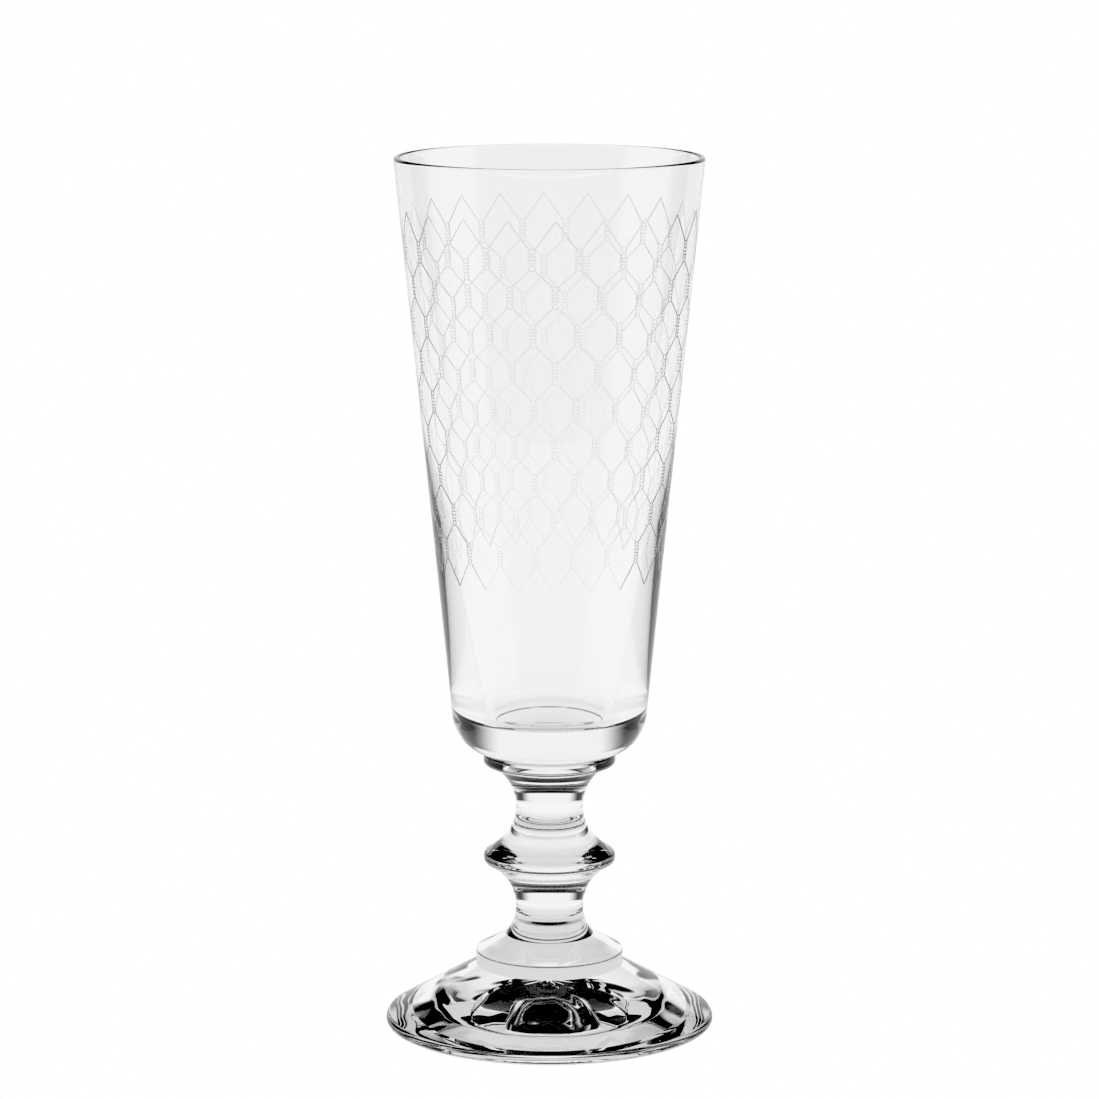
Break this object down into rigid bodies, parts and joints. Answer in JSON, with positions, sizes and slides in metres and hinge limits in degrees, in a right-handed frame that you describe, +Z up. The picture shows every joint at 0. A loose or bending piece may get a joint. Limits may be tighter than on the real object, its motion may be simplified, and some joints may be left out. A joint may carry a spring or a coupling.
{
  "type": "champagne flute",
  "caption": "Stemmed champagne flute in clear glass: a tall conical bowl with an etched diamond lattice, a short knopped stem between two collars, and a low conical foot.",
  "frame": {"origin": "centre of the circle that the glass stands on, at the table's surface", "axes": "+Z up along the axis of the glass, from the foot to the rim; +X and +Y are alike, because the glass is round"},
  "size_m": [0.0674, 0.0674, 0.18],
  "materials": {
    "clear_glass": "clear fire-polished glass"
  },
  "bodies": {
    "root": {"bowl": "clear_glass", "bowl_collar": "clear_glass", "stem": "clear_glass", "foot_collar": "clear_glass", "foot": "clear_glass"}
  },
  "joints": []
}
